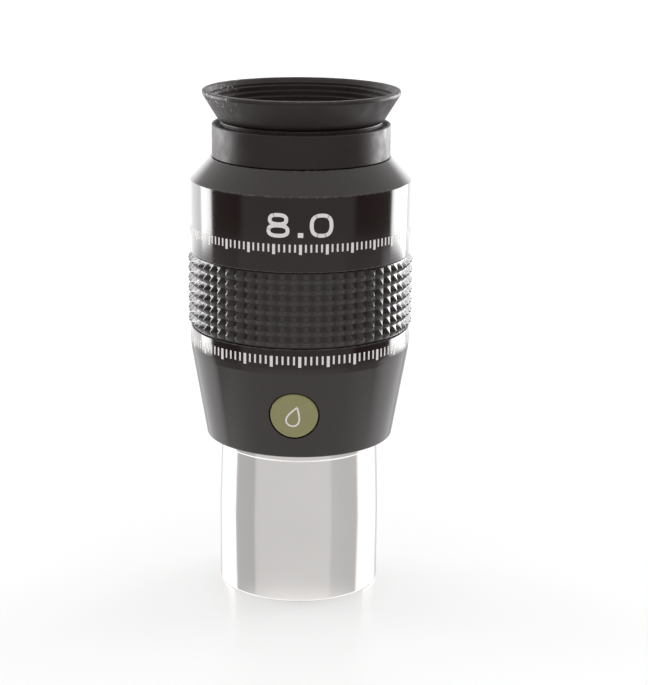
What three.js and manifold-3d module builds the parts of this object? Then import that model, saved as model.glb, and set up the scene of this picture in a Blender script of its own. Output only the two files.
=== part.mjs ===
// Wide-angle telescope eyepiece: seven lens elements in four groups, gas-purged and O-ring sealed,
// with a push-fit barrel for a 1.25 inch focuser and a rubber eyecup that folds down.
// Millimetres. +Z runs along the optical axis towards the eye, and the origin is the centre of the
// barrel's open end, so the part stands on z = 0. The maker's badge faces -Y.
import * as THREE from "three";
import { mergeVertices } from "three/addons/utils/BufferGeometryUtils.js";
import Module from "manifold-3d";

const wasm = await Module();
wasm.setup();

// ---------- Driving dimensions ----------

const OUTER_SEGMENTS = 48; // facets round the housings, barrel and eyecup
const INNER_SEGMENTS = 24; // facets round the lenses and rings inside
const ARC_STEPS = 3; // steps from a lens's axis to its edge
const FIT = 0.1; // radial play between a ring and its seat
const CEMENT = 0.05; // cement film between two lens elements

const SHOULDER_Z = 30.6; // where the body stops against the focuser
const BARREL_RADIUS = 15.85; // 1.25 inch (31.75 mm) fitting, less its running clearance
const UNDERCUT_Z = 16.6; // above this the barrel tapers, so a clamp screw pulls it in
const UNDERCUT_RADIUS = 15.45;
const FILTER_THREAD_RADIUS = 14.15; // M28.5 x 0.6 filter thread
const FILTER_THREAD_DEPTH = 5;

const FIELD_CHAMBER_RADIUS = 12.9;
const FIELD_LENS_RADIUS = 12.7;
const FIELD_LEDGE_Z = 17.2; // the field doublet seals against this ledge

const BODY_RADIUS = 21.5;
const BODY_FOOT_RADIUS = 18.4;
const TAPER_TOP_Z = 47.6;
const GRIP_BOTTOM_Z = 53.0;
const GRIP_TOP_Z = 67.3;
const GRIP_SEAT_RADIUS = 20.3;
const CONE_BOTTOM_Z = 81.7;
const CONE_TOP_Z = 86.0;
const CONE_TOP_RADIUS = 17.5;
const NECK_RADIUS = 15.95; // the eyecup's collar is stretched over this neck
const NECK_TOP_Z = 91.4;

const CELL_RADIUS = 17.45;
const CELL_BORE_RADIUS = 14.4;
const CELL_BOTTOM_Z = 49.7;
const CELL_TOP_Z = 83.2;
const CELL_LEDGE_Z = 59.2;
const CELL_LENS_RADIUS = 14.3;

const EYE_LENS_RADIUS = 13.3;
const EYE_MOUNT_TOP_Z = 94.4; // low enough to bring spectacles close once the cup is folded

const COLLAR_RADIUS = 17.25;
const HINGE_Z = 92.6; // the thin root of rubber that the wing folds about
const WING_TOP_Z = 97.6;
const RIM_RADIUS = 19.1;
const RIM_TOP_Z = 98.9;

const BADGE_Z = 39.3;
const BADGE_TURN = THREE.MathUtils.degToRad(-3); // from -Y towards -X
const BADGE_RADIUS = 4.55;

// ---------- Materials ----------

const finish = (color, roughness, metalness, extra = {}) =>
  new THREE.MeshStandardMaterial({ color, roughness, metalness, ...extra });

const blackAnodised = finish(0x2c2626, 0.2, 0.6);
const mattBlack = finish(0x1a1818, 0.7, 0.4);
const chrome = finish(0xd8d4d0, 0.12, 1);
const eyecupRubber = finish(0x2b2625, 0.65, 0);
const gripRubber = finish(0x262222, 0.3, 0);
const sealRubber = finish(0x141414, 0.6, 0);
const badgeEnamel = finish(0x8a8a58, 0.35, 0);
const screwSteel = finish(0xa0a0a0, 0.3, 1);
const glass = finish(0xcfe0d6, 0.02, 0, { transparent: true, opacity: 0.35 });

// ---------- Turning: closed outlines of [radius, height] spun about Z ----------

// The outline runs anticlockwise, with the axis to its left.
function spun(outline, segments) {
  const points = outline.map(([radius, height]) => new THREE.Vector2(radius, height));
  return new THREE.LatheGeometry(points, segments).rotateX(Math.PI / 2);
}

function meshOf(name, geometry, material) {
  const mesh = new THREE.Mesh(geometry, material);
  mesh.name = name;
  return mesh;
}

// A ring or tube: the outline is closed on itself.
function turned(name, outline, material, segments = INNER_SEGMENTS) {
  return meshOf(name, spun([...outline, outline[0]], segments), material);
}

function plainRing(name, [innerRadius, outerRadius], [bottom, top], material, segments) {
  const outline = [
    [innerRadius, bottom],
    [outerRadius, bottom],
    [outerRadius, top],
    [innerRadius, top],
  ];
  return turned(name, outline, material, segments);
}

// A seal of round cord, squeezed a little flat, with an eight-sided section.
function sealRing(name, [innerRadius, outerRadius], [bottom, top], material = sealRubber) {
  const width = outerRadius - innerRadius;
  const height = top - bottom;
  const cut = Math.min(width, height) * 0.3;
  const outline = [
    [innerRadius + cut, bottom],
    [outerRadius - cut, bottom],
    [outerRadius, bottom + cut],
    [outerRadius, top - cut],
    [outerRadius - cut, top],
    [innerRadius + cut, top],
    [innerRadius, top - cut],
    [innerRadius, bottom + cut],
  ];
  return turned(name, outline, material);
}

// ---------- Lenses ----------

// How far a spherical surface of this curvature radius falls from its apex at a given radius.
const sag = (curvature, radius) => curvature - Math.sqrt(curvature ** 2 - radius ** 2);

// Points of a lens surface from the axis to the edge. bulge is +1 where the apex lies above the
// edge, -1 where it lies below, and 0 for a flat face.
function lensSurface(edgeRadius, edgeZ, curvature, bulge) {
  const steps = bulge ? ARC_STEPS : 1;
  return Array.from({ length: steps + 1 }, (_, i) => {
    const radius = (edgeRadius * i) / steps;
    const rise = bulge ? bulge * (sag(curvature, edgeRadius) - sag(curvature, radius)) : 0;
    return [radius, edgeZ + rise];
  });
}

function lens(name, radius, lower, upper) {
  const bottom = lensSurface(radius, lower.z, lower.curvature, lower.bulge);
  const top = lensSurface(radius, upper.z, upper.curvature, upper.bulge).reverse();
  return meshOf(name, spun([...bottom, ...top], INNER_SEGMENTS), glass);
}

// ---------- Booleans ----------

function solidOf(geometry) {
  const bare = geometry.index ? geometry.toNonIndexed() : geometry.clone();
  bare.deleteAttribute("normal");
  bare.deleteAttribute("uv");
  const merged = mergeVertices(bare, 1e-4);
  return new wasm.Manifold(
    new wasm.Mesh({
      numProp: 3,
      vertProperties: merged.attributes.position.array,
      triVerts: new Uint32Array(merged.index.array),
    }),
  );
}

function geometryOf(solid) {
  const { vertProperties, triVerts } = solid.getMesh();
  return new THREE.BufferGeometry()
    .setAttribute("position", new THREE.BufferAttribute(vertProperties, 3))
    .setIndex(new THREE.BufferAttribute(triVerts, 1));
}

// ---------- Purge port: a frame whose +Z points squarely out of the tapered wall ----------

const TAPER_FOOT_Z = SHOULDER_Z + 0.4;
const TAPER_TOP_RADIUS = BODY_RADIUS - 0.15;
const taperSlope = (TAPER_TOP_RADIUS - BODY_FOOT_RADIUS) / (TAPER_TOP_Z - TAPER_FOOT_Z);
const taperRadius = (z) => BODY_FOOT_RADIUS + (z - TAPER_FOOT_Z) * taperSlope;

const port = new THREE.Group();
port.rotation.set(Math.PI / 2 + Math.atan(taperSlope), 0, BADGE_TURN, "ZXY");
port.position.set(
  taperRadius(BADGE_Z) * Math.sin(BADGE_TURN),
  -taperRadius(BADGE_Z) * Math.cos(BADGE_TURN),
  BADGE_Z,
);
port.updateMatrixWorld(true);

const PORT = {
  recess: { radius: 4.85, floor: -1.6 },
  counterbore: { radius: 2.9, floor: -4.4 },
  hole: { radius: 1.6, floor: -9 },
  mouth: 3,
  segments: 24,
};

// A round post on the port's axis, from one depth to another.
function post(radius, from, to) {
  const outline = [
    [0, from],
    [radius, from],
    [radius, to],
    [0, to],
  ];
  return spun(outline, PORT.segments);
}

const portCutter = ({ radius, floor }) =>
  solidOf(post(radius, floor, PORT.mouth).applyMatrix4(port.matrixWorld));

// ---------- Barrel and field group ----------

function nosepiece() {
  const outline = [
    [FILTER_THREAD_RADIUS, 0],
    [BARREL_RADIUS - 0.4, 0],
    [BARREL_RADIUS, 0.4],
    [BARREL_RADIUS, UNDERCUT_Z],
    [UNDERCUT_RADIUS, SHOULDER_Z - 0.6],
    [UNDERCUT_RADIUS, 33],
    [14.5, 33],
    [14.5, 39],
    [12.6, 39],
    [12.6, FIELD_LEDGE_Z + 1.4],
    [10.8, FIELD_LEDGE_Z + 1.4],
    [10.8, FIELD_LEDGE_Z],
    [FIELD_CHAMBER_RADIUS, FIELD_LEDGE_Z],
    [FIELD_CHAMBER_RADIUS, FILTER_THREAD_DEPTH + 0.5],
    [FILTER_THREAD_RADIUS, FILTER_THREAD_DEPTH],
  ];
  return turned("nosepiece", outline, chrome, OUTER_SEGMENTS);
}

function fieldGroup() {
  const seam = { z: 14.2, curvature: 30 };
  const chamber = FIELD_CHAMBER_RADIUS - FIT;
  return [
    plainRing("field_lens_retainer", [10.6, chamber], [6.3, 8.6], mattBlack),
    lens(
      "field_lens_flint",
      FIELD_LENS_RADIUS,
      { z: 8.7, curvature: 60, bulge: 1 },
      { ...seam, bulge: -1 },
    ),
    lens(
      "field_lens_crown",
      FIELD_LENS_RADIUS,
      { ...seam, z: seam.z + CEMENT, bulge: -1 },
      { z: 15.6, curvature: 70, bulge: 1 },
    ),
    sealRing("field_lens_seal", [11.1, chamber], [16, FIELD_LEDGE_Z - 0.05]),
    turned("field_stop", [[7.4, 36.5], [12.5, 36], [12.5, 37.4], [7.4, 36.8]], mattBlack),
    sealRing("nosepiece_seal", [14.65, 15.6], [33.05, 34.2]),
  ];
}

// ---------- Housings ----------

function lowerHousing() {
  const outline = [
    [15.75, SHOULDER_Z],
    [BODY_FOOT_RADIUS - 0.4, SHOULDER_Z],
    [BODY_FOOT_RADIUS, TAPER_FOOT_Z],
    [TAPER_TOP_RADIUS, TAPER_TOP_Z],
    [BODY_RADIUS, TAPER_TOP_Z + 1],
    [BODY_RADIUS, GRIP_BOTTOM_Z - 0.1],
    [GRIP_SEAT_RADIUS, GRIP_BOTTOM_Z - 0.1],
    [GRIP_SEAT_RADIUS, GRIP_TOP_Z],
    [19.5, GRIP_TOP_Z],
    [19.5, 73],
    [17.6, 73],
    [17.6, CELL_BOTTOM_Z - 0.2],
    [13.5, CELL_BOTTOM_Z - 0.2],
    [13.5, 39.4],
    [14.65, 39.4],
    [14.65, 34.3],
    [15.75, 34.3],
  ];
  const shell = solidOf(spun([...outline, outline[0]], OUTER_SEGMENTS));
  const cut = [PORT.recess, PORT.counterbore, PORT.hole].reduce(
    (solid, step) => solid.subtract(portCutter(step)),
    shell,
  );
  return meshOf("lower_housing", geometryOf(cut), blackAnodised);
}

function upperHousing() {
  const outline = [
    [19.65, GRIP_TOP_Z + 0.2],
    [BODY_RADIUS, GRIP_TOP_Z + 0.2],
    [BODY_RADIUS, CONE_BOTTOM_Z],
    [CONE_TOP_RADIUS, CONE_TOP_Z],
    [NECK_RADIUS, CONE_TOP_Z],
    [NECK_RADIUS, NECK_TOP_Z],
    [14.45, NECK_TOP_Z],
    [14.45, 83.5],
    [17.6, 83.5],
    [17.6, 74.4],
    [19.65, 74.4],
  ];
  return turned("upper_housing", outline, blackAnodised, OUTER_SEGMENTS);
}

const STUD = { columns: 60, rows: 7, root: 21.2, tip: 21.95, margin: 0.15, bore: 20.4 };

// A sleeve whose outside is a grid of four-sided pyramids, assembled ring by ring.
function gripRing() {
  const { columns, rows, root, tip, margin, bore } = STUD;
  const firstRow = GRIP_BOTTOM_Z + margin;
  const pitch = (GRIP_TOP_Z - GRIP_BOTTOM_Z - 2 * margin) / rows;
  const vertices = [];
  const faces = [];

  // One ring of vertices, turned by a share of a column. Returns an index by column.
  const ring = (radius, z, turn = 0) => {
    const first = vertices.length / 3;
    for (let column = 0; column < columns; column++) {
      const angle = ((column + turn) / columns) * 2 * Math.PI;
      vertices.push(radius * Math.cos(angle), radius * Math.sin(angle), z);
    }
    return (column) => first + (column % columns);
  };
  // A band of quads from one ring to the next, facing out when it climbs.
  const band = (lower, upper) => {
    for (let column = 0; column < columns; column++) {
      const next = column + 1;
      faces.push(lower(column), lower(next), upper(next));
      faces.push(lower(column), upper(next), upper(column));
    }
  };

  const boreBottom = ring(bore, GRIP_BOTTOM_Z);
  const outerBottom = ring(root, GRIP_BOTTOM_Z);
  const lattice = Array.from({ length: rows + 1 }, (_, row) => ring(root, firstRow + row * pitch));
  const outerTop = ring(root, GRIP_TOP_Z);
  const boreTop = ring(bore, GRIP_TOP_Z);

  band(boreBottom, outerBottom);
  band(outerBottom, lattice[0]);
  for (let row = 0; row < rows; row++) {
    const peak = ring(tip, firstRow + (row + 0.5) * pitch, 0.5);
    for (let column = 0; column < columns; column++) {
      const corners = [
        lattice[row](column),
        lattice[row](column + 1),
        lattice[row + 1](column + 1),
        lattice[row + 1](column),
      ];
      corners.forEach((corner, i) => faces.push(corner, corners[(i + 1) % 4], peak(column)));
    }
  }
  band(lattice[rows], outerTop);
  band(outerTop, boreTop);
  band(boreTop, boreBottom);

  const geometry = new THREE.BufferGeometry()
    .setAttribute("position", new THREE.Float32BufferAttribute(vertices, 3))
    .setIndex(faces);
  geometry.computeVertexNormals();
  return meshOf("grip_ring", geometry, gripRubber);
}

// ---------- Purge port pieces, modelled on the port's own axis ----------

function portPieces() {
  // The badge takes the curve of the wall: a post trimmed by a slightly swollen taper.
  const proud = 0.12;
  const swollen = spun(
    [
      [0, TAPER_FOOT_Z],
      [taperRadius(TAPER_FOOT_Z) + proud, TAPER_FOOT_Z],
      [taperRadius(TAPER_TOP_Z) + proud, TAPER_TOP_Z],
      [0, TAPER_TOP_Z],
    ],
    4 * OUTER_SEGMENTS,
  ).applyMatrix4(port.matrixWorld.clone().invert());
  const disc = solidOf(post(BADGE_RADIUS, -1.3, PORT.mouth)).intersect(solidOf(swollen));

  const screwOutline = [
    [0, -6.2],
    [1.3, -6.2],
    [1.3, -3.2],
    [2.6, -3.2],
    [2.6, -2],
    [0, -2],
  ];
  const slot = new THREE.BoxGeometry(6, 0.6, 1.2).translate(0, 0, -2);
  const screw = solidOf(spun(screwOutline, PORT.segments)).subtract(solidOf(slot));

  port.add(
    meshOf("badge_disc", geometryOf(disc), badgeEnamel),
    meshOf("purge_screw", geometryOf(screw), screwSteel),
    sealRing("purge_screw_seal", [1.65, 2.5], [-4.1, -3.5]),
  );
  return port;
}

// ---------- Lens cell and the two doublets ----------

function lensCell() {
  const outline = [
    [15, CELL_BOTTOM_Z],
    [CELL_RADIUS, CELL_BOTTOM_Z],
    [CELL_RADIUS, CELL_TOP_Z],
    [CELL_BORE_RADIUS, CELL_TOP_Z],
    [CELL_BORE_RADIUS, CELL_LEDGE_Z],
    [12, CELL_LEDGE_Z],
    [12, CELL_LEDGE_Z - 2.7],
  ];
  return turned("lens_cell", outline, mattBlack, OUTER_SEGMENTS);
}

function cellStack() {
  const radius = CELL_LENS_RADIUS;
  const seamA = { z: CELL_LEDGE_Z + 7.8, curvature: 26 };
  const seamB = { z: CELL_LEDGE_Z + 17.2, curvature: 28 };
  const crownTopA = CELL_LEDGE_Z + 9.4;
  const crownBottomB = CELL_LEDGE_Z + 15.35;
  const flintTopB = CELL_LEDGE_Z + 21.3;
  // Its ends are bevelled to lie on the two curved faces.
  const spacerOutline = [
    [13.3, crownTopA + 0.6],
    [radius, crownTopA + 0.1],
    [radius, crownBottomB - 0.1],
    [13.3, crownBottomB - 0.5],
  ];
  return [
    lens(
      "lower_doublet_flint",
      radius,
      { z: CELL_LEDGE_Z + 0.05, curvature: 60, bulge: 1 },
      { ...seamA, bulge: -1 },
    ),
    lens(
      "lower_doublet_crown",
      radius,
      { ...seamA, z: seamA.z + CEMENT, bulge: -1 },
      { z: crownTopA, curvature: 34, bulge: 1 },
    ),
    turned("doublet_spacer", spacerOutline, mattBlack),
    lens(
      "upper_doublet_crown",
      radius,
      { z: crownBottomB, curvature: 45, bulge: -1 },
      { ...seamB, bulge: 1 },
    ),
    lens(
      "upper_doublet_flint",
      radius,
      { ...seamB, z: seamB.z + CEMENT, bulge: 1 },
      { z: flintTopB, curvature: 70, bulge: 1 },
    ),
    plainRing("cell_retainer", [13, radius], [flintTopB + 0.35, flintTopB + 1.6], mattBlack),
  ];
}

// ---------- Eye lens, its mount and the eyecup ----------

// A stepped ring that screws into the neck. Its throat flares above the eye lens.
function eyeLensMount() {
  const bore = EYE_LENS_RADIUS + FIT;
  const throat = 12.6;
  const outline = [
    [bore, 86.2],
    [14.3, 86.2],
    [14.3, NECK_TOP_Z + 0.3],
    [14.9, NECK_TOP_Z + 0.3],
    [14.9, EYE_MOUNT_TOP_Z - 0.3],
    [14.6, EYE_MOUNT_TOP_Z],
    [13.9, EYE_MOUNT_TOP_Z],
    [throat, 93.4],
    [throat, 93],
    [bore, 93],
  ];
  return turned("eye_lens_mount", outline, mattBlack, OUTER_SEGMENTS);
}

function eyeGroup() {
  return [
    eyeLensMount(),
    plainRing("eye_lens_retainer", [12.3, EYE_LENS_RADIUS], [86.3, 87.5], mattBlack),
    lens(
      "eye_lens",
      EYE_LENS_RADIUS,
      { z: 88.1, curvature: 30, bulge: -1 },
      { z: 91.8, bulge: 0 },
    ),
    sealRing("eye_lens_seal", [12.4, EYE_LENS_RADIUS], [91.85, 92.95]),
  ];
}

// The eyecup is one soft moulding. It is divided at the fold line and under the rim, because the
// collar stays put, the wing bends and the rim travels when the cup is folded down.
function eyecup() {
  const root = 15.05;
  const collar = [
    [NECK_RADIUS + 0.05, CONE_TOP_Z + 0.05],
    [COLLAR_RADIUS - 0.2, CONE_TOP_Z + 0.05],
    [COLLAR_RADIUS, CONE_TOP_Z + 0.25],
    [COLLAR_RADIUS, HINGE_Z - 0.5],
    [COLLAR_RADIUS - 0.25, HINGE_Z - 0.2],
    [COLLAR_RADIUS - 0.45, HINGE_Z - 0.2],
    [COLLAR_RADIUS - 0.75, HINGE_Z - 0.9],
    [root + 1.1, HINGE_Z - 0.9],
    [root + 1.05, HINGE_Z],
    [root, HINGE_Z],
    [root, NECK_TOP_Z + 0.15],
    [NECK_RADIUS + 0.05, NECK_TOP_Z + 0.15],
  ];
  const wing = [
    [root, HINGE_Z + 0.02],
    [root + 1.05, HINGE_Z + 0.02],
    [root + 1.03, HINGE_Z + 0.7],
    [RIM_RADIUS - 0.35, WING_TOP_Z],
    [RIM_RADIUS - 1.6, WING_TOP_Z],
    [root + 0.05, HINGE_Z + 1],
  ];
  const rim = [
    [RIM_RADIUS - 1.55, WING_TOP_Z + 0.05],
    [RIM_RADIUS - 0.3, WING_TOP_Z + 0.05],
    [RIM_RADIUS, WING_TOP_Z + 0.5],
    [RIM_RADIUS, RIM_TOP_Z - 0.35],
    [RIM_RADIUS - 0.3, RIM_TOP_Z],
    [RIM_RADIUS - 0.8, RIM_TOP_Z],
    [RIM_RADIUS - 1.2, RIM_TOP_Z - 0.3],
  ];
  return [
    turned("eyecup_collar", collar, eyecupRubber, OUTER_SEGMENTS),
    turned("eyecup_wing", wing, eyecupRubber, OUTER_SEGMENTS),
    turned("eyecup_rim", rim, eyecupRubber, OUTER_SEGMENTS),
  ];
}

// ---------- Assembly ----------

const eyepiece = new THREE.Group();
eyepiece.add(
  nosepiece(),
  ...fieldGroup(),
  lowerHousing(),
  portPieces(),
  plainRing("light_baffle", [9, 13.4], [43.5, 44.7], mattBlack),
  gripRing(),
  lensCell(),
  ...cellStack(),
  upperHousing(),
  sealRing("housing_seal", [18.2, 19.4], [73.05, 74.3]),
  ...eyeGroup(),
  ...eyecup(),
);

export default eyepiece;
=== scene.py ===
"""The looks of a wide-angle telescope eyepiece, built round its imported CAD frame.

Metres, +Z along the optical axis towards the eye, the badge on -Y. Outlines of turned pieces are
written in millimetres, as a drawing would give them, and scaled as they are spun.
"""

import math

import bmesh
import bpy
from mathutils import Matrix, Vector


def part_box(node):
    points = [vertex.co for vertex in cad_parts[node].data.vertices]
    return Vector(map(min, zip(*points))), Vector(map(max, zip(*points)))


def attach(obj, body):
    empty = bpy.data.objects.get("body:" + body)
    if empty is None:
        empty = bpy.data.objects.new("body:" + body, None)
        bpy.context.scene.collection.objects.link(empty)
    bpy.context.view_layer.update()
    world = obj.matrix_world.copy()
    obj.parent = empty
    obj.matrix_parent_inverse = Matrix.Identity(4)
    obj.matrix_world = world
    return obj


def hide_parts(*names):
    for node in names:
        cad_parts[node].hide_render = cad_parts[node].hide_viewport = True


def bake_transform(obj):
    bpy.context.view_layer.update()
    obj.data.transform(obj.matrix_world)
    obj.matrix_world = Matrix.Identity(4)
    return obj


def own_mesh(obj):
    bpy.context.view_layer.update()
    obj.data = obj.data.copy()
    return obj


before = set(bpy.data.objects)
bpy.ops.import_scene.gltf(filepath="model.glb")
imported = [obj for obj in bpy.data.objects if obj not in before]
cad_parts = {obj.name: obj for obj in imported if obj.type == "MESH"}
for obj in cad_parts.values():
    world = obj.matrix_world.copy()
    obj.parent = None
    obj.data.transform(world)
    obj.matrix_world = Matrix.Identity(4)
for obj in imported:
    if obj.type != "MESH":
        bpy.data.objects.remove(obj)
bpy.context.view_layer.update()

MM = 0.001
ROUND = 192  # segments round a shell
FINE_ROUND = 128  # segments round a small or hidden ring
ROOT = "eyepiece"
LIP = "eyecup_lip"

# ---------- Sizes read from the frame, in millimetres ----------


def bottom(node):
    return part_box(node)[0].z / MM


def top(node):
    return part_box(node)[1].z / MM


def reach(node):
    """The node's largest radius."""
    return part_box(node)[1].x / MM


BARREL_R = reach("nosepiece")
SHOULDER = bottom("lower_housing")
BODY_R = reach("lower_housing")
GRIP_LOW = bottom("grip_ring")
GRIP_HIGH = top("grip_ring")
COLLAR_LOW = bottom("eyecup_collar")
COLLAR_R = reach("eyecup_collar")
HINGE = bottom("eyecup_wing")
WING_TOP = top("eyecup_wing")
RIM_R = reach("eyecup_rim")
RIM_TOP = top("eyecup_rim")
RIM_LOW = bottom("eyecup_rim")
MOUNT_TOP = top("eye_lens_mount")
BADGE = (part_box("badge_disc")[0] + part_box("badge_disc")[1]) / 2

# ---------- Sizes of the body that no box gives, in millimetres ----------

FOOT_R = 18.4  # foot of the tapered wall
TAPER_FOOT = SHOULDER + 0.4
TAPER_TOP = 47.6
TAPER_TOP_R = BODY_R - 0.15
TAPER_TILT = math.atan((TAPER_TOP_R - FOOT_R) / (TAPER_TOP - TAPER_FOOT))
CONE_LOW = 81.7
CONE_TOP_R = 17.5
SEAT_R = 20.3  # wall under the grip band


def taper_radius(height):
    return FOOT_R + (height - TAPER_FOOT) * math.tan(TAPER_TILT)


# ---------- Mesh helpers ----------


def rounded(corners, steps=6):
    """The outline through (radius, height[, fillet]) corners, each filleted corner an arc."""
    most = 0.48  # the share of a side that one corner's arc may take
    points = []
    for i, corner in enumerate(corners):
        here = Vector(corner[:2])
        if len(corner) < 3:
            points.append(here)
            continue
        back = Vector(corners[i - 1][:2]) - here
        ahead = Vector(corners[(i + 1) % len(corners)][:2]) - here
        half = back.angle(ahead) / 2
        run = min(corner[2] / math.tan(half), most * back.length, most * ahead.length)
        back.normalize()
        ahead.normalize()
        centre = here + (back + ahead).normalized() * (run / math.cos(half))
        first = here + back * run - centre
        last = here + ahead * run - centre
        radius = first.length
        turns = [first.slerp(last, k / steps).normalized() for k in range(steps + 1)]
        points += [centre + turn * radius for turn in turns]
    return points


def from_bmesh(name, shape, material, smooth_angle=30):
    """An object of this shape, shaded smooth but for edges sharper than smooth_angle degrees."""
    bmesh.ops.remove_doubles(shape, verts=shape.verts, dist=1e-7)
    bmesh.ops.recalc_face_normals(shape, faces=shape.faces)
    data = bpy.data.meshes.new(name)
    shape.to_mesh(data)
    shape.free()
    data.materials.append(material)
    data.polygons.foreach_set("use_smooth", [True] * len(data.polygons))
    data.set_sharp_from_angle(angle=math.radians(smooth_angle))
    piece = bpy.data.objects.new(name, data)
    bpy.context.scene.collection.objects.link(piece)
    return piece


def turned(name, corners, material, segments=ROUND, smooth_angle=30):
    """A closed outline spun about the optical axis."""
    outline = rounded(corners)
    shape = bmesh.new()
    columns = []
    for k in range(segments):
        angle = 2 * math.pi * k / segments
        outward = Vector((math.cos(angle), math.sin(angle), 0)) * MM
        places = [outward * p.x + Vector((0, 0, p.y * MM)) for p in outline]
        columns.append([shape.verts.new(place) for place in places])
    for k in range(segments):
        here, there = columns[k], columns[(k + 1) % segments]
        for i in range(len(outline)):
            j = (i + 1) % len(outline)
            on_axis = outline[i].x == 0 and outline[j].x == 0
            if not on_axis:
                shape.faces.new((here[i], there[i], there[j], here[j]))
    bmesh.ops.dissolve_degenerate(shape, edges=shape.edges, dist=1e-8)
    return from_bmesh(name, shape, material, smooth_angle)


def settle(piece, body, slot, *nodes):
    """The piece moves with a body and stands for the named CAD nodes, which it hides. The slot is not
    used.
    """
    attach(piece, body)
    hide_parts(*nodes)


# ---------- Materials ----------


class Finish:
    """A Principled material whose textures lie in the part's own frame."""

    def __init__(self, name, color, roughness, metallic=0.0, **sockets):
        self.material = bpy.data.materials.new(name)
        self.material.use_nodes = True
        self.tree = self.material.node_tree
        self.shader = self.tree.nodes["Principled BSDF"]
        self.shader.inputs["Base Color"].default_value = (*color, 1)
        self.shader.inputs["Roughness"].default_value = roughness
        self.shader.inputs["Metallic"].default_value = metallic
        for socket, value in sockets.items():
            self.shader.inputs[socket.replace("_", " ")].default_value = value
        place = self.tree.nodes.new("ShaderNodeTexCoord")
        self.place = place.outputs["Object"]

    def node(self, kind, inputs=(), **settings):
        made = self.tree.nodes.new(kind)
        for key, value in settings.items():
            setattr(made, key, value)
        for key, value in dict(inputs).items():
            if isinstance(value, bpy.types.NodeSocket):
                self.tree.links.new(value, made.inputs[key])
            else:
                made.inputs[key].default_value = value
        return made

    def noise(self, size_mm, detail=3.0):
        """Noise from 0 to 1 with features of that size."""
        made = self.node(
            "ShaderNodeTexNoise",
            {"Vector": self.place, "Scale": 1 / (size_mm * MM), "Detail": detail},
        )
        return made.outputs["Fac"]

    def lathe_lines(self, pitch_mm):
        """Noise that changes only along the optical axis, as a turning tool leaves."""
        split = self.node("ShaderNodeSeparateXYZ", {"Vector": self.place})
        made = self.node(
            "ShaderNodeTexNoise",
            {"W": split.outputs["Z"], "Scale": 1 / (pitch_mm * MM), "Detail": 2.0},
            noise_dimensions="1D",
        )
        return made.outputs["Fac"]

    def spread(self, value, low, high, start=0.3, stop=0.7):
        """A 0 to 1 value remapped to run from low to high."""
        made = self.node(
            "ShaderNodeMapRange",
            {"Value": value, "From Min": start, "From Max": stop, "To Min": low, "To Max": high},
        )
        return made.outputs["Result"]

    def blend_color(self, factor, first, second):
        """The first colour where the factor is 0, turning to the second where it is 1."""
        first_input, second_input, result = 6, 7, 2  # the colour sockets, which share their names
        made = self.node("ShaderNodeMix", data_type="RGBA")
        self.tree.links.new(factor, made.inputs["Factor"])
        for key, color in ((first_input, first), (second_input, second)):
            if isinstance(color, bpy.types.NodeSocket):
                self.tree.links.new(color, made.inputs[key])
            else:
                made.inputs[key].default_value = (*color, 1)
        return made.outputs[result]

    def calc(self, operation, *values):
        made = self.node("ShaderNodeMath", dict(enumerate(values)), operation=operation)
        return made.outputs[0]

    def wear(self, heights_mm, width_mm=0.3):
        """Patchy rubbing round the body at these heights, up to 1."""
        split = self.node("ShaderNodeSeparateXYZ", {"Vector": self.place})
        nearest = 1.0
        for height in heights_mm:
            offset = self.calc("SUBTRACT", split.outputs["Z"], height * MM)
            nearest = self.calc("MINIMUM", self.calc("ABSOLUTE", offset), nearest)
        near = self.spread(nearest, 1, 0, 0, width_mm * MM)
        return self.calc("MULTIPLY", near, self.spread(self.noise(0.7), 0, 1, 0.42, 0.68))

    def plug(self, socket, value):
        self.tree.links.new(value, self.shader.inputs[socket])

    def bump(self, height, distance_mm, strength=1.0):
        made = self.node(
            "ShaderNodeBump",
            {"Height": height, "Distance": distance_mm * MM, "Strength": strength},
        )
        self.plug("Normal", made.outputs["Normal"])


def black_anodised():
    """Dyed anodising over fine lathe lines, worn a little paler at the edges of each land."""
    color = (0.0095, 0.0035, 0.0032)
    paler = (0.013, 0.006, 0.0055)
    rubbed = (0.06, 0.05, 0.05)
    finish = Finish("black_anodised", color, 0.12, IOR=1.5)
    cloud = finish.blend_color(finish.noise(6), color, paler)
    edges = (SHOULDER, GRIP_LOW - 0.15, GRIP_HIGH + 0.2, CONE_LOW, COLLAR_LOW)
    finish.plug("Base Color", finish.blend_color(finish.wear(edges), cloud, rubbed))
    finish.plug("Roughness", finish.spread(finish.lathe_lines(0.25), 0.09, 0.15))
    finish.bump(finish.lathe_lines(0.12), 0.0015, 0.35)
    return finish.material


def matt_black():
    """Blackened inside parts that must not reflect stray light."""
    finish = Finish("matt_black", (0.01, 0.01, 0.01), 0.6)
    finish.plug("Roughness", finish.spread(finish.noise(0.8), 0.5, 0.75))
    finish.bump(finish.lathe_lines(0.15), 0.01, 0.5)
    return finish.material


def chrome_plate():
    """Polished plate over a turned tube, with faint rings and a slight cloudiness."""
    color = (0.86, 0.835, 0.82)
    cloudy = (0.8, 0.775, 0.76)
    finish = Finish("chrome_plate", color, 0.1, metallic=1.0)
    finish.plug("Base Color", finish.blend_color(finish.noise(9), color, cloudy))
    finish.plug("Roughness", finish.spread(finish.lathe_lines(0.2), 0.07, 0.14))
    finish.bump(finish.lathe_lines(0.1), 0.001, 0.3)
    return finish.material


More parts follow.
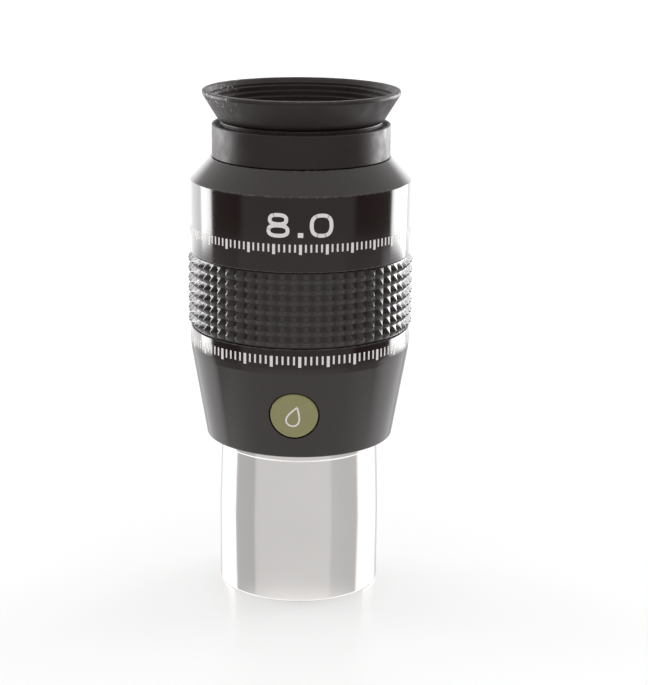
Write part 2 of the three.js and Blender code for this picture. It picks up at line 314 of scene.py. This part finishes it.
def eyecup_rubber():
    """Soft moulded rubber with a fine grain, and a little pale dust on one side of the rim."""
    color = (0.011, 0.0036, 0.0036)
    rubbed = (0.035, 0.026, 0.026)
    dusty = (0.35, 0.34, 0.33)
    finish = Finish("eyecup_rubber", color, 0.48, IOR=1.45)
    split = finish.node("ShaderNodeSeparateXYZ", {"Vector": finish.place})
    by_the_rim = finish.spread(split.outputs["Z"], 0, 1, (RIM_LOW - 2) * MM, RIM_LOW * MM)
    one_side = finish.spread(split.outputs["X"], 1, 0, -0.75 * RIM_R * MM, -0.6 * RIM_R * MM)
    specks = finish.spread(finish.noise(0.7, 2.0), 0, 1, 0.62, 0.65)
    dust = finish.calc("MULTIPLY", finish.calc("MULTIPLY", by_the_rim, one_side), specks)
    worn = finish.blend_color(finish.wear((RIM_TOP, HINGE), 0.5), color, rubbed)
    finish.plug("Base Color", finish.blend_color(dust, worn, dusty))
    finish.plug("Roughness", finish.spread(finish.noise(2.5), 0.4, 0.56))
    finish.bump(finish.noise(0.12, 2.0), 0.012, 0.6)
    return finish.material


def grip_rubber():
    """Firmer rubber, shinier in patches where fingers have polished it."""
    color = (0.01, 0.0045, 0.0042)
    paler = (0.018, 0.011, 0.01)
    finish = Finish("grip_rubber", color, 0.25, IOR=1.5)
    finish.plug("Base Color", finish.blend_color(finish.noise(3), color, paler))
    finish.plug("Roughness", finish.spread(finish.noise(1.5), 0.18, 0.32))
    finish.bump(finish.noise(0.1, 2.0), 0.006, 0.5)
    return finish.material


def seal_rubber():
    """Smooth O-ring rubber, faintly uneven in gloss."""
    finish = Finish("seal_rubber", (0.01, 0.01, 0.01), 0.4)
    finish.plug("Roughness", finish.spread(finish.noise(0.5), 0.32, 0.5))
    return finish.material


def badge_enamel():
    """Olive enamel with a soft gloss and a slight mottle."""
    color = (0.25, 0.235, 0.098)
    darker = (0.215, 0.2, 0.08)
    finish = Finish("badge_enamel", color, 0.3)
    finish.plug("Base Color", finish.blend_color(finish.noise(0.9), color, darker))
    finish.plug("Roughness", finish.spread(finish.noise(0.3), 0.24, 0.38))
    finish.bump(finish.noise(0.2), 0.004, 0.5)
    return finish.material


def marking_ink():
    """Off-white screen-printed ink, thinner in places."""
    color = (0.74, 0.7, 0.7)
    thin = (0.6, 0.56, 0.56)
    full = (0.84, 0.8, 0.8)
    finish = Finish("marking_ink", color, 0.45)
    cover = finish.noise(0.25, 4.0)
    finish.plug("Base Color", finish.blend_color(cover, thin, full))
    finish.bump(cover, 0.003, 0.5)
    return finish.material


def screw_steel():
    """Turned steel with an uneven sheen."""
    finish = Finish("screw_steel", (0.5, 0.49, 0.48), 0.3, metallic=1.0)
    finish.plug("Roughness", finish.spread(finish.noise(0.4), 0.22, 0.4))
    return finish.material


def lens_glass():
    """Polished glass with a thin green and violet anti-reflection coating."""
    green = (0.35, 0.9, 0.6)
    violet = (0.6, 0.45, 0.95)
    finish = Finish(
        "lens_glass", (0.94, 0.98, 0.95), 0.0, IOR=1.52,
        Transmission_Weight=1.0, Coat_Weight=0.35, Coat_Roughness=0.0,
    )
    finish.plug("Coat Tint", finish.blend_color(finish.noise(14, 1.0), green, violet))
    return finish.material


BLACK = black_anodised()
MATT = matt_black()
CHROME = chrome_plate()
CUP_RUBBER = eyecup_rubber()
GRIP_RUBBER = grip_rubber()
SEAL = seal_rubber()
ENAMEL = badge_enamel()
INK = marking_ink()
STEEL = screw_steel()
GLASS = lens_glass()

# ---------- Barrel ----------


def thread(inner, outer, start, pitch, count):
    """Corners of a run of thread crests on an inside wall, going down."""
    crests = []
    for i in range(count):
        height = start - i * pitch
        crests += [(outer, height), (inner, height - pitch / 2)]
    return crests


def barrel():
    """A tube with a tapered undercut, a spigot into the body, a lens ledge and a filter thread."""
    undercut_r = 15.45
    neck_r = undercut_r + 0.25
    spigot_r = 14.5
    bore_r = 12.6
    ledge_r = 10.8
    chamber_r = 12.9
    corners = [
        (14.35, 0, 0.1),
        (BARREL_R, 0, 0.45),
        (BARREL_R, 16.5),
        (undercut_r, 28.8, 0.1),
        (neck_r, 29.1, 0.1),
        (neck_r, 33, 0.1),
        (spigot_r, 33),
        (spigot_r, 39, 0.2),
        (bore_r, 39, 0.2),
        (bore_r, 18.6),
        (ledge_r, 18.6, 0.2),
        (ledge_r, 17.2, 0.2),
        (chamber_r, 17.2),
        (chamber_r, 5.6),
        *thread(inner=13.85, outer=14.15, start=5, pitch=0.6, count=8),
    ]
    settle(turned("barrel_shell", corners, CHROME), ROOT, "chrome_plate", "nosepiece")

    low = bottom("field_lens_retainer")
    high = low + 2.3
    hole_r = 10.6
    ring_r = 12.8
    ring = [
        (hole_r, high, 0.2),
        (hole_r, low + 0.6, 0.2),
        (hole_r + 0.6, low, 0.2),
        (ring_r, low, 0.15),
        (ring_r, high),
    ]
    piece = turned("field_lens_ring", ring, MATT, FINE_ROUND)
    settle(piece, ROOT, "matt_black", "field_lens_retainer")


# ---------- Body ----------


def badge_matrix():
    """A frame whose +Z points squarely out of the tapered wall at the badge, in millimetres."""
    turn = math.atan2(BADGE.x, -BADGE.y)
    height = BADGE.z / MM
    level = math.cos(TAPER_TILT)
    outward = Vector((math.sin(turn) * level, -math.cos(turn) * level, -math.sin(TAPER_TILT)))
    across = Vector((math.cos(turn), math.sin(turn), 0))
    up = outward.cross(across)
    radius = taper_radius(height)
    matrix = Matrix((across, up, outward)).transposed().to_4x4()
    matrix.translation = Vector((radius * math.sin(turn), -radius * math.cos(turn), height))
    return matrix


BADGE_FRAME = badge_matrix()
BADGE_R = 4.55
RECESS_R = 4.85
BADGE_ROUND = 96  # segments round the badge and its recess


def wall_drop(across):
    """How far the wall curves away from its tangent plane at the badge."""
    bend = taper_radius(BADGE.z / MM) / math.cos(TAPER_TILT)
    return bend - math.sqrt(bend**2 - across**2)


def on_wall(across, up, lift):
    """A point in the frame, given across and up the wall from the badge's centre, and outward."""
    return (BADGE_FRAME @ Vector((across, up, lift - wall_drop(across)))) * MM


def cut_recess(body):
    """Sinks the badge's round recess into the wall, and keeps the wall's shading true round it."""
    depth = 1.6
    mouth = 3
    shape = bmesh.new()
    bmesh.ops.create_cone(
        shape, cap_ends=True, segments=BADGE_ROUND, radius1=RECESS_R, radius2=RECESS_R,
        depth=depth + mouth,
    )
    shape.transform(Matrix.Translation((0, 0, (mouth - depth) / 2)))
    shape.transform(Matrix.Scale(MM, 4) @ BADGE_FRAME)
    cutter = from_bmesh("recess_cutter", shape, BLACK)
    cut = body.modifiers.new("recess", "BOOLEAN")
    cut.object = cutter
    cut.operation = "DIFFERENCE"
    cut.solver = "EXACT"
    graph = bpy.context.evaluated_depsgraph_get()
    data = bpy.data.meshes.new_from_object(body.evaluated_get(graph))
    body.modifiers.clear()
    body.data = data
    bpy.data.objects.remove(cutter)
    data.set_sharp_from_angle(angle=math.radians(30))
    keep_wall_normals(data)


def taper_normal(place):
    """Squarely out of the tapered wall at a place on it."""
    normal = Vector((place.x, place.y, 0)).normalized() * math.cos(TAPER_TILT)
    normal.z = -math.sin(TAPER_TILT)
    return normal


def keep_wall_normals(data):
    """Shades the taper as a true cone, whatever faces the recess has left on it."""
    along_wall = 0.9995  # least cosine between a face of the taper and the cone's own normal
    normals = [corner.vector.copy() for corner in data.corner_normals]
    for face in data.polygons:
        between = TAPER_FOOT * MM < face.center.z < TAPER_TOP * MM
        if not between or face.normal.dot(taper_normal(face.center)) < along_wall:
            continue
        for loop in face.loop_indices:
            normals[loop] = taper_normal(data.vertices[data.loops[loop].vertex_index].co)
    data.normals_split_custom_set(normals)


def lower_body():
    """The tapered half, its lower band, the seat under the grip and the bore for the lens cell."""
    neck_bore_r = 15.75
    spigot_bore_r = 14.65
    waist_r = 13.5
    cell_bore_r = 17.6
    sleeve_r = 19.5
    corners = [
        (neck_bore_r, SHOULDER, 0.15),
        (FOOT_R - 0.05, SHOULDER, 0.45),
        (TAPER_TOP_R, TAPER_TOP + 0.3, 3),
        (BODY_R, TAPER_TOP + 1.5, 3),
        (BODY_R, GRIP_LOW - 0.12, 0.25),
        (SEAT_R + 0.6, GRIP_LOW - 0.12),
        (SEAT_R + 0.6, GRIP_LOW - 0.4),
        (SEAT_R, GRIP_LOW - 0.4),
        (SEAT_R, GRIP_HIGH),
        (sleeve_r, GRIP_HIGH),
        (sleeve_r, 73, 0.3),
        (cell_bore_r, 73),
        (cell_bore_r, 49.5),
        (waist_r, 49.5),
        (waist_r, 39.4),
        (spigot_bore_r, 39.4),
        (spigot_bore_r, 34.3),
        (neck_bore_r, 34.3),
    ]
    body = turned("lower_body", corners, BLACK)
    cut_recess(body)
    settle(body, ROOT, "black_anodised", "lower_housing")


def upper_body():
    """The upper band, its conical shoulder and the neck that the eyecup is stretched over."""
    low = GRIP_HIGH + 0.15
    high = COLLAR_LOW - 0.05
    sleeve_bore_r = 19.65
    neck_r = 15.95
    neck_top = 91.4
    neck_bore_r = 14.45
    cell_bore_r = 17.6
    corners = [
        (sleeve_bore_r, low),
        (BODY_R, low, 0.25),
        (BODY_R, CONE_LOW, 0.35),
        (CONE_TOP_R, high, 0.3),
        (neck_r, high),
        (neck_r, neck_top, 0.2),
        (neck_bore_r, neck_top, 0.1),
        (neck_bore_r, 83.5),
        (cell_bore_r, 83.5),
        (cell_bore_r, 74.4),
        (sleeve_bore_r, 74.4),
    ]
    settle(turned("upper_body", corners, BLACK), ROOT, "black_anodised", "upper_housing")


# ---------- Grip band ----------


def grip_band():
    """Rows of four-sided studs, each a truncated pyramid with narrow valleys round it."""
    columns = 60
    rows = 7
    sharp = 50  # degrees, past which an edge is shaded hard
    root_r = 21.2
    tip_r = 21.95
    bore_r = 20.4
    margin = 0.15
    valley = 0.05  # half the flat between two studs, as a share of the pitch
    flat = 0.44  # from the stud's edge to its flat top, as a share of the pitch
    pitch = (GRIP_HIGH - GRIP_LOW - 2 * margin) / rows
    across_stud = (valley, flat, 1 - flat, 1 - valley)

    around = []
    for column in range(columns):
        around += [(column + share, share) for share in across_stud]
    heights = [(GRIP_LOW, None), (GRIP_LOW + margin * 0.5, None)]
    for row in range(rows):
        base = GRIP_LOW + margin + row * pitch
        heights += [(base + share * pitch, share) for share in across_stud]
    heights += [(GRIP_HIGH - margin * 0.5, None), (GRIP_HIGH, None)]

    def at(turn, radius, height):
        angle = 2 * math.pi * turn / columns
        return Vector((radius * math.cos(angle), radius * math.sin(angle), height)) * MM

    def is_top(share):
        return share in (flat, 1 - flat)

    shape = bmesh.new()
    sheet = []
    for height, up_share in heights:
        ring = []
        for turn, side_share in around:
            raised = is_top(up_share) and is_top(side_share)
            ring.append(shape.verts.new(at(turn, tip_r if raised else root_r, height)))
        sheet.append(ring)
    for height in (GRIP_HIGH, GRIP_LOW):
        sheet.append([shape.verts.new(at(turn, bore_r, height)) for turn, _ in around])
    for i, lower in enumerate(sheet):
        upper = sheet[(i + 1) % len(sheet)]
        for j in range(len(around)):
            k = (j + 1) % len(around)
            shape.faces.new((lower[j], lower[k], upper[k], upper[j]))
    settle(from_bmesh("grip_band", shape, GRIP_RUBBER, sharp), ROOT, "grip_rubber", "grip_ring")


# ---------- Badge ----------


def badge():
    """An enamelled disc that follows the wall's curve, with a soft edge."""
    proud = 0.12
    thickness = 1.3
    edge = 0.2
    edge_steps = 6
    face_steps = 8
    profile = [(BADGE_R * k / face_steps, 0) for k in range(face_steps)]
    for k in range(edge_steps + 1):
        angle = math.pi / 2 * k / edge_steps
        profile.append((BADGE_R - edge + edge * math.sin(angle), -edge * (1 - math.cos(angle))))
    profile += [(BADGE_R, -thickness), (0, -thickness)]
    shape = bmesh.new()
    rings = []
    for radius, depth in profile:
        ring = []
        for k in range(BADGE_ROUND):
            angle = 2 * math.pi * k / BADGE_ROUND
            place = on_wall(radius * math.cos(angle), radius * math.sin(angle), proud + depth)
            ring.append(shape.verts.new(place))
        rings.append(ring)
    for lower, upper in zip(rings, rings[1:]):
        for k in range(BADGE_ROUND):
            j = (k + 1) % BADGE_ROUND
            shape.faces.new((lower[k], lower[j], upper[j], upper[k]))
    settle(from_bmesh("badge", shape, ENAMEL), ROOT, "badge_enamel", "badge_disc")
    drop_sign(proud)


def drop_sign(proud):
    """The outline of a falling drop, leaning a little: the sign for a sealed, filled body."""
    lean = math.radians(-18)
    size = 2.1
    slimness = 0.82
    sharpness = 1.4
    half_line = 0.16
    sunk = 0.02
    lift = 0.035
    steps = 72
    line = []
    for k in range(steps):
        angle = 2 * math.pi * k / steps
        across = size * slimness * math.sin(angle) * math.sin(angle / 2) ** sharpness
        up = size * math.cos(angle)
        line.append(Vector((across, up)))
    shape = bmesh.new()
    loops = []
    for side in (-1, 1):
        for height in (proud - sunk, proud + lift):
            loop = []
            for k, point in enumerate(line):
                along = line[(k + 1) % steps] - line[k - 1]
                normal = Vector((along.y, -along.x)).normalized()
                place = point + normal * (side * half_line)
                turned_x = place.x * math.cos(lean) - place.y * math.sin(lean)
                turned_y = place.x * math.sin(lean) + place.y * math.cos(lean)
                loop.append(shape.verts.new(on_wall(turned_x, turned_y, height)))
            loops.append(loop)
    order = [loops[0], loops[1], loops[3], loops[2]]
    for i, lower in enumerate(order):
        upper = order[(i + 1) % 4]
        for k in range(steps):
            j = (k + 1) % steps
            shape.faces.new((lower[k], lower[j], upper[j], upper[k]))
    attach(from_bmesh("badge_sign", shape, INK), ROOT)


# ---------- Printed marks ----------

INK_LIFT = 0.012
INK_ROOT = 0.02  # how far the ink's underside is sunk into the body


def printed(shape, outline, radius):
    """Adds a thin slab of ink round the body: outline is a list of (across, height) corners."""
    def at(point, lift):
        angle = point[0] / radius
        out = radius + lift
        return Vector((out * math.sin(angle), -out * math.cos(angle), point[1])) * MM

    under = [shape.verts.new(at(p, -INK_ROOT)) for p in outline]
    over = [shape.verts.new(at(p, INK_LIFT)) for p in outline]
    shape.faces.new(over)
    shape.faces.new(list(reversed(under)))
    for k in range(len(outline)):
        j = (k + 1) % len(outline)
        shape.faces.new((under[k], under[j], over[j], over[k]))


def stroke(shape, loop, width, radius):
    """Inks a closed loop with a pen of this width, in short quads that follow the curve."""
    count = len(loop)
    sides = []
    for k, point in enumerate(loop):
        along = (loop[(k + 1) % count] - loop[k - 1]).normalized()
        normal = Vector((-along.y, along.x)) * width / 2
        sides.append((point + normal, point - normal))
    for k in range(count):
        here, there = sides[k], sides[(k + 1) % count]
        printed(shape, [here[1], there[1], there[0], here[0]], radius)


def oval(centre, wide, tall, steps=40, power=2.6):
    """A squarish oval loop: the higher the power, the squarer."""
    def squared(value):
        return math.copysign(abs(value) ** (2 / power), value)

    points = []
    for k in range(steps):
        angle = 2 * math.pi * k / steps
        x = squared(math.cos(angle)) * wide / 2
        y = squared(math.sin(angle)) * tall / 2
        points.append(Vector((centre[0] + x, centre[1] + y)))
    return points


def focal_length_figure():
    """The focal length in plain block figures: eight, point, nought."""
    pen = 0.72
    low = 74.2
    tall = 4.5
    eight = -4.2  # across to the middle of each figure
    nought = 3.9
    dot = 0.5  # half the width of the point
    shape = bmesh.new()
    middle = low + tall / 2
    top_tall = 0.48 * tall
    low_tall = tall - top_tall
    for centre, wide, high in (
        ((eight, low + tall - top_tall / 2 - pen / 8), 3.1, top_tall - 0.6 * pen),
        ((eight, low + low_tall / 2 + pen / 8), 3.6, low_tall - 0.6 * pen),
    ):
        stroke(shape, oval(centre, wide, high), pen, BODY_R)
    printed(shape, [(-dot, low), (dot, low), (dot, low + 0.9), (-dot, low + 0.9)], BODY_R)
    stroke(shape, oval((nought, middle), 3.7, tall - pen), pen, BODY_R)
    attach(from_bmesh("focal_length_figure", shape, INK), ROOT)


def graduation(name, low, high, ticks, width):
    """Printed ticks evenly round the body, every fifth one full height and bolder."""
    short_foot = low + 0.22 * (high - low)
    shape = bmesh.new()
    pitch = 2 * math.pi * BODY_R / ticks
    for k in range(ticks):
        full = k % 5 == 0
        foot = low if full else short_foot
        half = width * (0.8 if full else 0.5)
        left = k * pitch - half
        right = k * pitch + half
        printed(shape, [(left, foot), (right, foot), (right, high), (left, high)], BODY_R)
    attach(from_bmesh(name, shape, INK), ROOT)


def marks():
    focal_length_figure()
    graduation("upper_graduation", low=71.0, high=72.9, ticks=135, width=0.34)
    graduation("lower_graduation", low=49.4, high=51.5, ticks=125, width=0.36)


# ---------- Eye lens mount and eyecup ----------


def eye_lens_mount():
    """The ring round the eye lens, its throat cut with fine steps that kill glare."""
    low = bottom("eye_lens_mount")
    bore_r = 13.4
    skirt_r = 14.3
    flange_r = 14.9
    flange_low = 91.7
    throat_r = 12.6
    throat_top = 93.4
    mouth_r = 13.9
    steps = 5
    rise = (MOUNT_TOP - 0.1 - throat_top) / steps
    run = (mouth_r - throat_r) / steps
    stair = []
    for i in range(steps, 0, -1):
        radius = throat_r + i * run
        height = throat_top + i * rise
        stair += [(radius, height), (radius, height - rise)]
    corners = [
        (bore_r, low),
        (skirt_r, low),
        (skirt_r, flange_low),
        (flange_r, flange_low),
        (flange_r, MOUNT_TOP, 0.3),
        (mouth_r + 0.15, MOUNT_TOP, 0.1),
        *stair,
        (throat_r, throat_top),
        (throat_r, 93, 0.1),
        (bore_r, 93),
    ]
    settle(turned("eye_lens_mount_ring", corners, MATT), ROOT, "matt_black", "eye_lens_mount")


def lens_face(edge_z, curvature, bulge, radius, steps=24):
    """(radius, height) points of a lens surface, from the axis to its edge.

    bulge is 1 where the middle stands above the edge, -1 where it lies below, and 0 if flat.
    """
    def sag(r):
        return curvature - math.sqrt(curvature**2 - r**2)

    if not bulge:
        return [(0, edge_z), (radius, edge_z)]
    radii = [radius * k / steps for k in range(steps + 1)]
    return [(r, edge_z + bulge * (sag(radius) - sag(r))) for r in radii]


def lenses():
    """Seven elements in four groups. Each face is (edge height, radius of curvature, bulge)."""
    elements = {
        "field_lens_flint": ((8.7, 60, 1), (14.2, 30, -1)),
        "field_lens_crown": ((14.25, 30, -1), (15.6, 70, 1)),
        "lower_doublet_flint": ((59.25, 60, 1), (67, 26, -1)),
        "lower_doublet_crown": ((67.05, 26, -1), (68.6, 34, 1)),
        "upper_doublet_crown": ((74.55, 45, -1), (76.4, 28, 1)),
        "upper_doublet_flint": ((76.45, 28, 1), (80.5, 70, 1)),
        "eye_lens": ((88.1, 30, -1), (91.8, 0, 0)),
    }
    for node, (lower, upper) in elements.items():
        radius = reach(node)
        outline = lens_face(*lower, radius) + lens_face(*upper, radius)[::-1]
        element = turned(node + "_glass", outline, GLASS, FINE_ROUND, 20)
        settle(element, ROOT, "lens_glass", node)


def eyecup():
    """Collar, wing, skirt and rim of the soft rubber cup, which folds down outside its collar."""
    root_r = 15.05
    rib_depth = 0.62
    collar_bore_r = 16.0
    outside_foot_r = RIM_R - 0.31  # where the wing meets the rim
    wing_high = RIM_LOW - 0.005
    collar = [
        (collar_bore_r, COLLAR_LOW),
        (COLLAR_R, COLLAR_LOW, 0.22),
        (COLLAR_R, HINGE - 0.2, 0.45),
        (COLLAR_R - 0.62, HINGE - 0.22, 0.2),
        (COLLAR_R - 0.95, HINGE - 1.3, 0.15),
        (root_r + 0.62, HINGE - 0.9, 0.1),
        (root_r + 0.62, HINGE - 0.02),
        (root_r, HINGE - 0.02),
        (root_r, 91.55),
        (collar_bore_r, 91.55),
    ]
    settle(turned("cup_collar", collar, CUP_RUBBER), ROOT, "eyecup_rubber", "eyecup_collar")

    # The wing's inside carries moulded ribs, one a step, and the first starts at the rim.
    inner_root_r = root_r + 0.05
    inner_top_r = RIM_R - 1.6
    rib_count = 4
    rise = WING_TOP - HINGE - 1
    step = rise / rib_count
    inside = []
    for i in range(rib_count):
        share = 1 - i / rib_count
        radius = inner_root_r + (inner_top_r - inner_root_r) * share
        height = HINGE + 1 + rise * share
        inside.append((radius, height - 0.05, 0.08) if i else (inner_top_r, wing_high))
        inside.append((radius - rib_depth, height - 0.12 * step, 0.12))
        inside.append((radius - rib_depth, height - 0.5 * step, 0.12))
    wing = [
        (root_r, HINGE),
        (root_r + 0.6, HINGE, 0.05),
        (root_r + 0.55, HINGE + 0.3, 0.1),
        (root_r + 1.05, HINGE + 0.68, 0.15),
        (outside_foot_r, wing_high),
        *inside,
        (inner_root_r, HINGE + 1, 0.1),
    ]
    piece = turned("cup_wing", wing, CUP_RUBBER)
    settle(piece, ROOT, "eyecup_rubber", "eyecup_wing")
    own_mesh(piece)

    groove_in = RIM_R - 1.35
    groove_out = RIM_R - 0.75
    groove_top = RIM_LOW + 0.75
    rim_bore_r = RIM_R - 1.55
    rim = [
        (groove_out, RIM_LOW),
        (outside_foot_r, RIM_LOW),
        (RIM_R, RIM_LOW + 0.5, 0.3),
        (RIM_R, RIM_TOP, 0.45),
        (RIM_R - 1.05, RIM_TOP, 0.35),
        (rim_bore_r, RIM_LOW + 0.35, 0.1),
        (rim_bore_r, RIM_LOW),
        (groove_in, RIM_LOW),
        (groove_in, groove_top),
        (groove_out, groove_top),
    ]
    settle(turned("cup_rim", rim, CUP_RUBBER), LIP, "eyecup_rubber", "eyecup_rim")
    play = 0.04
    skirt(groove_in + play, groove_out - play, RIM_LOW + 0.05, groove_top - 0.1)


def skirt(inner, outer, low, high):
    """The part of the wall that hides in the rim's groove at rest and rolls out of it as the cup
    folds; only its rest place is built.
    """
    corners = [(inner, low), (outer, low), (outer, high), (inner, high)]
    steps = 12
    wall = []
    for (r0, z0), (r1, z1) in zip(corners, corners[1:] + corners[:1]):
        wall += [(r0 + (r1 - r0) * k / steps, z0 + (z1 - z0) * k / steps) for k in range(steps)]
    piece = turned("cup_skirt", wall, CUP_RUBBER)
    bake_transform(piece)


# ---------- Pieces kept from the CAD, which only need their finish ----------


def paint_kept_nodes():
    finishes = {
        MATT: ["field_stop", "light_baffle", "lens_cell", "doublet_spacer", "cell_retainer",
               "eye_lens_retainer"],
        SEAL: ["field_lens_seal", "nosepiece_seal", "housing_seal", "eye_lens_seal",
               "purge_screw_seal"],
        STEEL: ["purge_screw"],
    }
    for material, names in finishes.items():
        for name in names:
            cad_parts[name].material_slots[0].material = material


# ---------- Studio ----------


def floor():
    """A pale table that reaches well past the view and is left out of reflections."""
    table_radius = 3.0
    shape = bmesh.new()
    bmesh.ops.create_circle(shape, cap_ends=True, segments=96, radius=table_radius)
    finish = Finish("table", (0.9, 0.9, 0.9), 0.2, Specular_IOR_Level=0.35)
    table = from_bmesh("table", shape, finish.material)
    table.visible_glossy = False


def studio_light():
    """Surroundings whose brightness changes round the part in belts, one above another."""
    world = bpy.data.worlds.new("studio")
    bpy.context.scene.world = world
    world.use_nodes = True
    tree = world.node_tree
    place = tree.nodes.new("ShaderNodeTexCoord")
    split = tree.nodes.new("ShaderNodeSeparateXYZ")
    tree.links.new(place.outputs["Generated"], split.inputs["Vector"])

    def math_node(operation, *values):
        made = tree.nodes.new("ShaderNodeMath")
        made.operation = operation
        for k, value in enumerate(values):
            if isinstance(value, bpy.types.NodeSocket):
                tree.links.new(value, made.inputs[k])
            else:
                made.inputs[k].default_value = value
        return made.outputs[0]

    def ramp(value, stops):
        made = tree.nodes.new("ShaderNodeFloatCurve")
        curve = made.mapping.curves[0]
        for position, height in stops[1:-1]:
            curve.points.new(position, height)
        curve.points[0].location = stops[0]
        curve.points[-1].location = stops[-1]
        for point in curve.points:
            point.handle_type = "VECTOR"
        made.mapping.update()
        tree.links.new(value, made.inputs["Value"])
        return made.outputs[0]

    # 0 is behind on the left, 0.5 the front (-Y), 1 behind on the right.
    back_y = math_node("MULTIPLY", split.outputs["Y"], -1)
    azimuth = math_node("ARCTAN2", split.outputs["X"], back_y)
    around = math_node("MULTIPLY_ADD", azimuth, 0.5 / math.pi, 0.5)
    climb = math_node("MULTIPLY_ADD", split.outputs["Z"], 0.5, 0.5)

    def belt(stops):
        """Brightness round the part at one height: stops are (degrees from the front, brightness)."""
        brightest = max(level for _, level in stops)
        curve = ramp(around, [(0.5 + degrees / 360, level / brightest) for degrees, level in stops])
        return math_node("MULTIPLY", curve, brightest)

    def mix(factor, first, second):
        made = tree.nodes.new("ShaderNodeMix")
        tree.links.new(factor, made.inputs["Factor"])
        for k, value in ((2, first), (3, second)):
            if isinstance(value, bpy.types.NodeSocket):
                tree.links.new(value, made.inputs[k])
            else:
                made.inputs[k].default_value = value
        return made.outputs[0]

    def above(start, full):
        """0 below the climb start, 1 above full. Straight down is 0, level 0.5, straight up 1."""
        return ramp(climb, [(0, 0), (start, 0), (full, 1), (1, 1)])

    # Two tall lamps stand a little behind the part, one each side, with shade before them.
    lamps = belt([
        (-180, 1.2), (-150, 2.6), (-126, 4.5), (-123, 12), (-106, 12), (-104, 0.2), (-66, 0.14),
        (-60, 0.55), (55, 0.55), (60, 0.14), (107, 0.2), (110, 12), (141, 12), (144, 3), (180, 1.2),
    ])
    # Below them their light spills over the table.
    spill = belt([
        (-180, 0.7), (-160, 0.8), (-152, 1.4), (-112, 1.6), (-106, 1.3), (-104, 0.54), (-69, 0.51),
        (-66, 0.7), (46, 0.72), (50, 0.6), (94, 0.58), (97, 1.2), (108, 1.6), (148, 1.4), (156, 0.8),
        (180, 0.7),
    ])
    # Closer in, the table is lit evenly from both sides.
    table_near = belt([
        (-180, 0.7), (-150, 1.3), (-110, 1.5), (-60, 1.1), (60, 1.1), (110, 1.5), (150, 1.3),
        (180, 0.7),
    ])
    sky = 1.08  # overhead it is an even white
    level = mix(above(0.24, 0.27), table_near, spill)
    level = mix(above(0.368, 0.386), level, lamps)
    level = mix(above(0.57, 0.66), level, sky)
    tree.links.new(level, tree.nodes["Background"].inputs["Strength"])
    tree.nodes["Background"].inputs["Color"].default_value = (1, 1, 1, 1)


def camera():
    """Looks a little down on the part from in front, with the part left of the middle."""
    distance = 0.3667
    height = 0.1455
    look_down = 14.8
    tilt = math.radians(90 - look_down)
    roll = math.radians(0.36)
    data = bpy.data.cameras.new("camera")
    data.lens = 100.5
    data.sensor_width = 36
    data.shift_x = 0.0352
    data.clip_start = 0.01
    piece = bpy.data.objects.new("camera", data)
    bpy.context.scene.collection.objects.link(piece)
    place = Matrix.Translation((0, -distance, height))
    piece.matrix_world = place @ Matrix.Rotation(tilt, 4, "X") @ Matrix.Rotation(roll, 4, "Z")
    bpy.context.scene.camera = piece


# ---------- Build ----------

camera()
studio_light()
floor()
barrel()
lower_body()
upper_body()
grip_band()
badge()
marks()
eye_lens_mount()
lenses()
eyecup()
paint_kept_nodes()

bpy.context.scene.view_settings.view_transform = "Standard"
